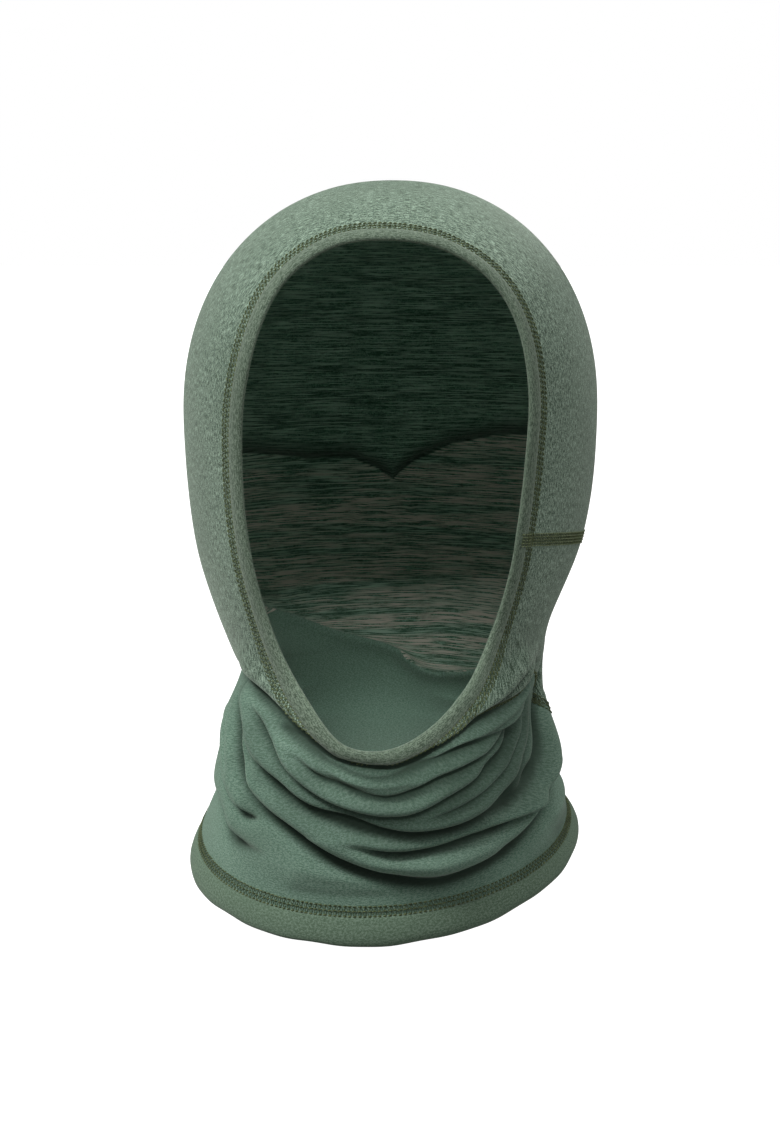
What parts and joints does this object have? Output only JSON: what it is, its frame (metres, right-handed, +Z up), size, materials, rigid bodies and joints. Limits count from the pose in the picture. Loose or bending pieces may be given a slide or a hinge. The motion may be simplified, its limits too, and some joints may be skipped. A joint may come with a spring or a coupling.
{
  "type": "balaclava",
  "caption": "Lightweight knitted balaclava: a close hood with a bound oval face opening, running into a short neck tube with a turned-up, coverstitched hem.",
  "frame": {"origin": "inside of the crown, where the wearer's head bears on the fabric", "axes": "+Z up along the wearer's head, the face opening looks along -Y, +X is the wearer's left side"},
  "size_m": [0.169, 0.2125, 0.3039],
  "materials": {
    "jersey": "fine heathered single jersey, matt with a soft wool bloom",
    "edge_jersey": "the same jersey, folded double at the edges",
    "thread": "olive sewing thread, slight sheen"
  },
  "bodies": {
    "root": {"front_hood_panel": "jersey", "back_head_panel": "jersey", "neck_panel": "jersey", "face_binding": "edge_jersey", "hem_band": "edge_jersey", "face_coverstitch": "thread", "hem_coverstitch": "thread", "cheek_seam_stitching": "thread", "back_seam_stitching": "thread", "neck_seam_stitching": "thread", "neck_closing_stitching": "thread"}
  },
  "joints": []
}
